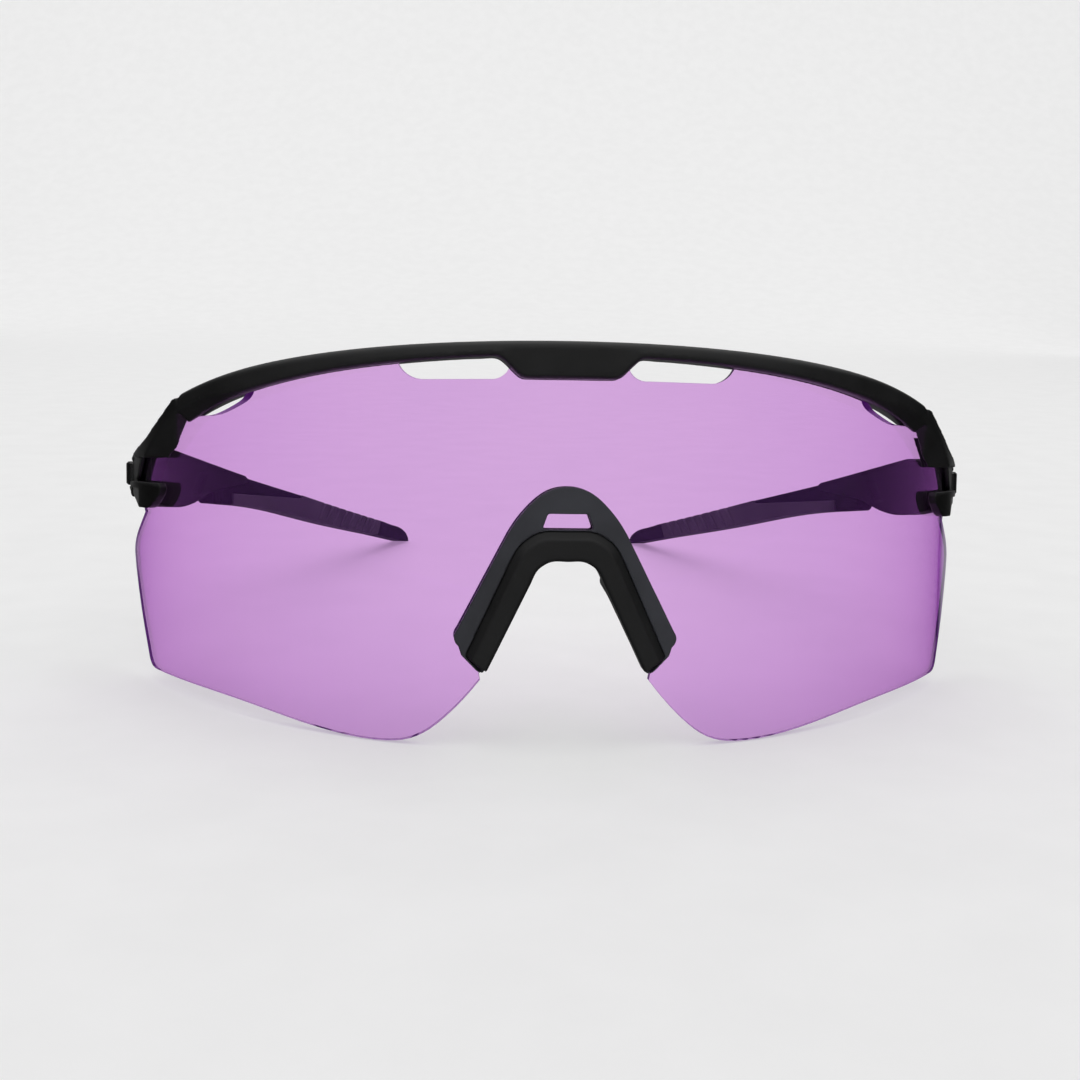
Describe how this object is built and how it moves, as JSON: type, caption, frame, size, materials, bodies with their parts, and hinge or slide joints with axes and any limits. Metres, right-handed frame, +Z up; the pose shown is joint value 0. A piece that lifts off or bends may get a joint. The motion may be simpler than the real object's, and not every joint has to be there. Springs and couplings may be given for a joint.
{
  "type": "wraparound sport sunglasses",
  "caption": "Wraparound sport sunglasses with a one-piece tinted shield lens hung from a dark brow frame, a rubber-trimmed nosepiece and folding temples with ribbed grips.",
  "frame": {"origin": "on the surface that the open glasses stand on, under the centre of their bounding box", "axes": "+Y from the lens towards the temple tips, so the wearer looks along -Y; +Z up; +X to the wearer's left"},
  "size_m": [0.1476, 0.173, 0.0595],
  "materials": {
    "lens_tint": "polished, see-through light violet polycarbonate",
    "frame_black": "satin",
    "hinge_grey": "satin",
    "screw_steel": "fine turned",
    "gloss_black": "polished",
    "shell_black": "satin",
    "core_black": "semi-matt",
    "grip_rubber": "matt, ribbed",
    "carrier_slate": "fine matt",
    "soft_rubber": "smooth matt"
  },
  "bodies": {
    "front": {"lens": "lens_tint", "brow_frame": "frame_black", "nose_carrier": "carrier_slate", "nose_trim": "soft_rubber", "nose_pad_left": "soft_rubber", "nose_pad_right": "soft_rubber", "hinge_block_left": "hinge_grey", "hinge_block_right": "hinge_grey", "hinge_screw_left": "screw_steel", "hinge_screw_right": "screw_steel"},
    "temple_left": {"temple_knuckle_left": "gloss_black", "temple_shell_left": "shell_black", "temple_core_left": "core_black", "temple_grip_left": "grip_rubber", "temple_tip_left": "shell_black"},
    "temple_right": {"temple_knuckle_right": "gloss_black", "temple_shell_right": "shell_black", "temple_core_right": "core_black", "temple_grip_right": "grip_rubber", "temple_tip_right": "shell_black"}
  },
  "joints": [
    {"name": "temple_left_fold", "type": "hinge", "parent": "front", "child": "temple_left", "pos_m": [0.0713, -0.0356, 0.0337], "axis": [0, 0.1045, 0.9945], "range_deg": [0, 76]},
    {"name": "temple_right_fold", "type": "hinge", "parent": "front", "child": "temple_right", "pos_m": [-0.0713, -0.0356, 0.0337], "axis": [0, -0.1045, -0.9945], "range_deg": [0, 68]}
  ]
}
